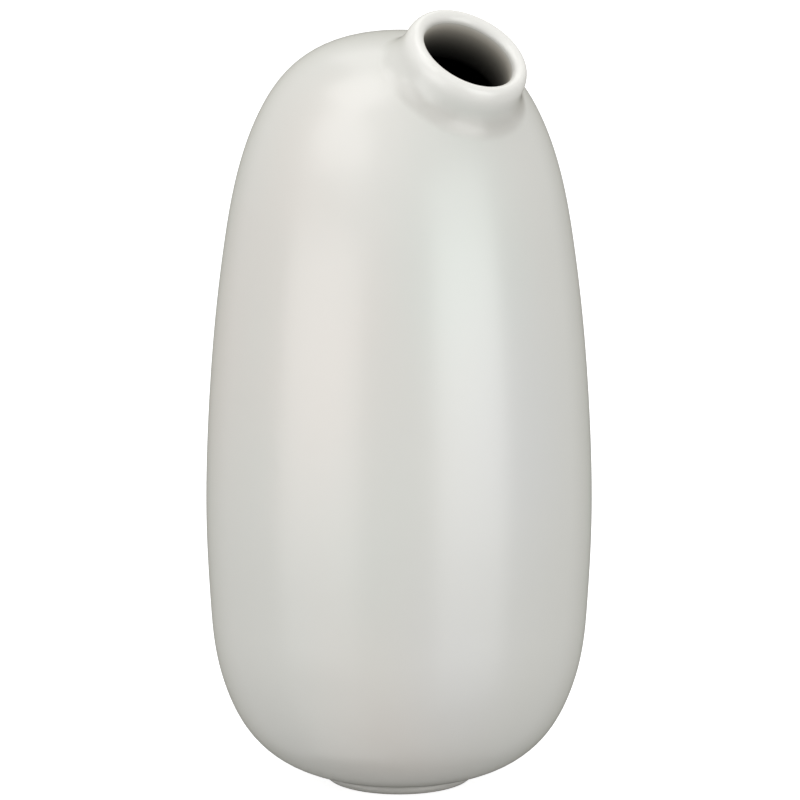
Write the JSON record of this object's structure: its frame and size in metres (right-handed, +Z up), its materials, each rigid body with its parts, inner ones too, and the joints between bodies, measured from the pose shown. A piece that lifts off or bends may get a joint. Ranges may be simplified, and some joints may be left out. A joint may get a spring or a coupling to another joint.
{
  "type": "bud vase",
  "caption": "Tall rounded ceramic vase with a short round neck set off-centre on the shoulder, a thick fully rounded lip and a low ring foot.",
  "frame": {"origin": "middle of the ring foot, on the surface that the vase stands on", "axes": "+Z up along the body's axis, +X the way the neck leans, so that the XZ plane is the mirror plane"},
  "size_m": [0.1222, 0.1222, 0.2503],
  "materials": {
    "pearl_glaze": "glossy off-white pearl lustre glaze",
    "bare_clay": "matte unglazed stoneware"
  },
  "bodies": {
    "root": {"body_shell": "pearl_glaze", "neck_collar": "pearl_glaze", "foot_ring": "bare_clay"}
  },
  "joints": []
}
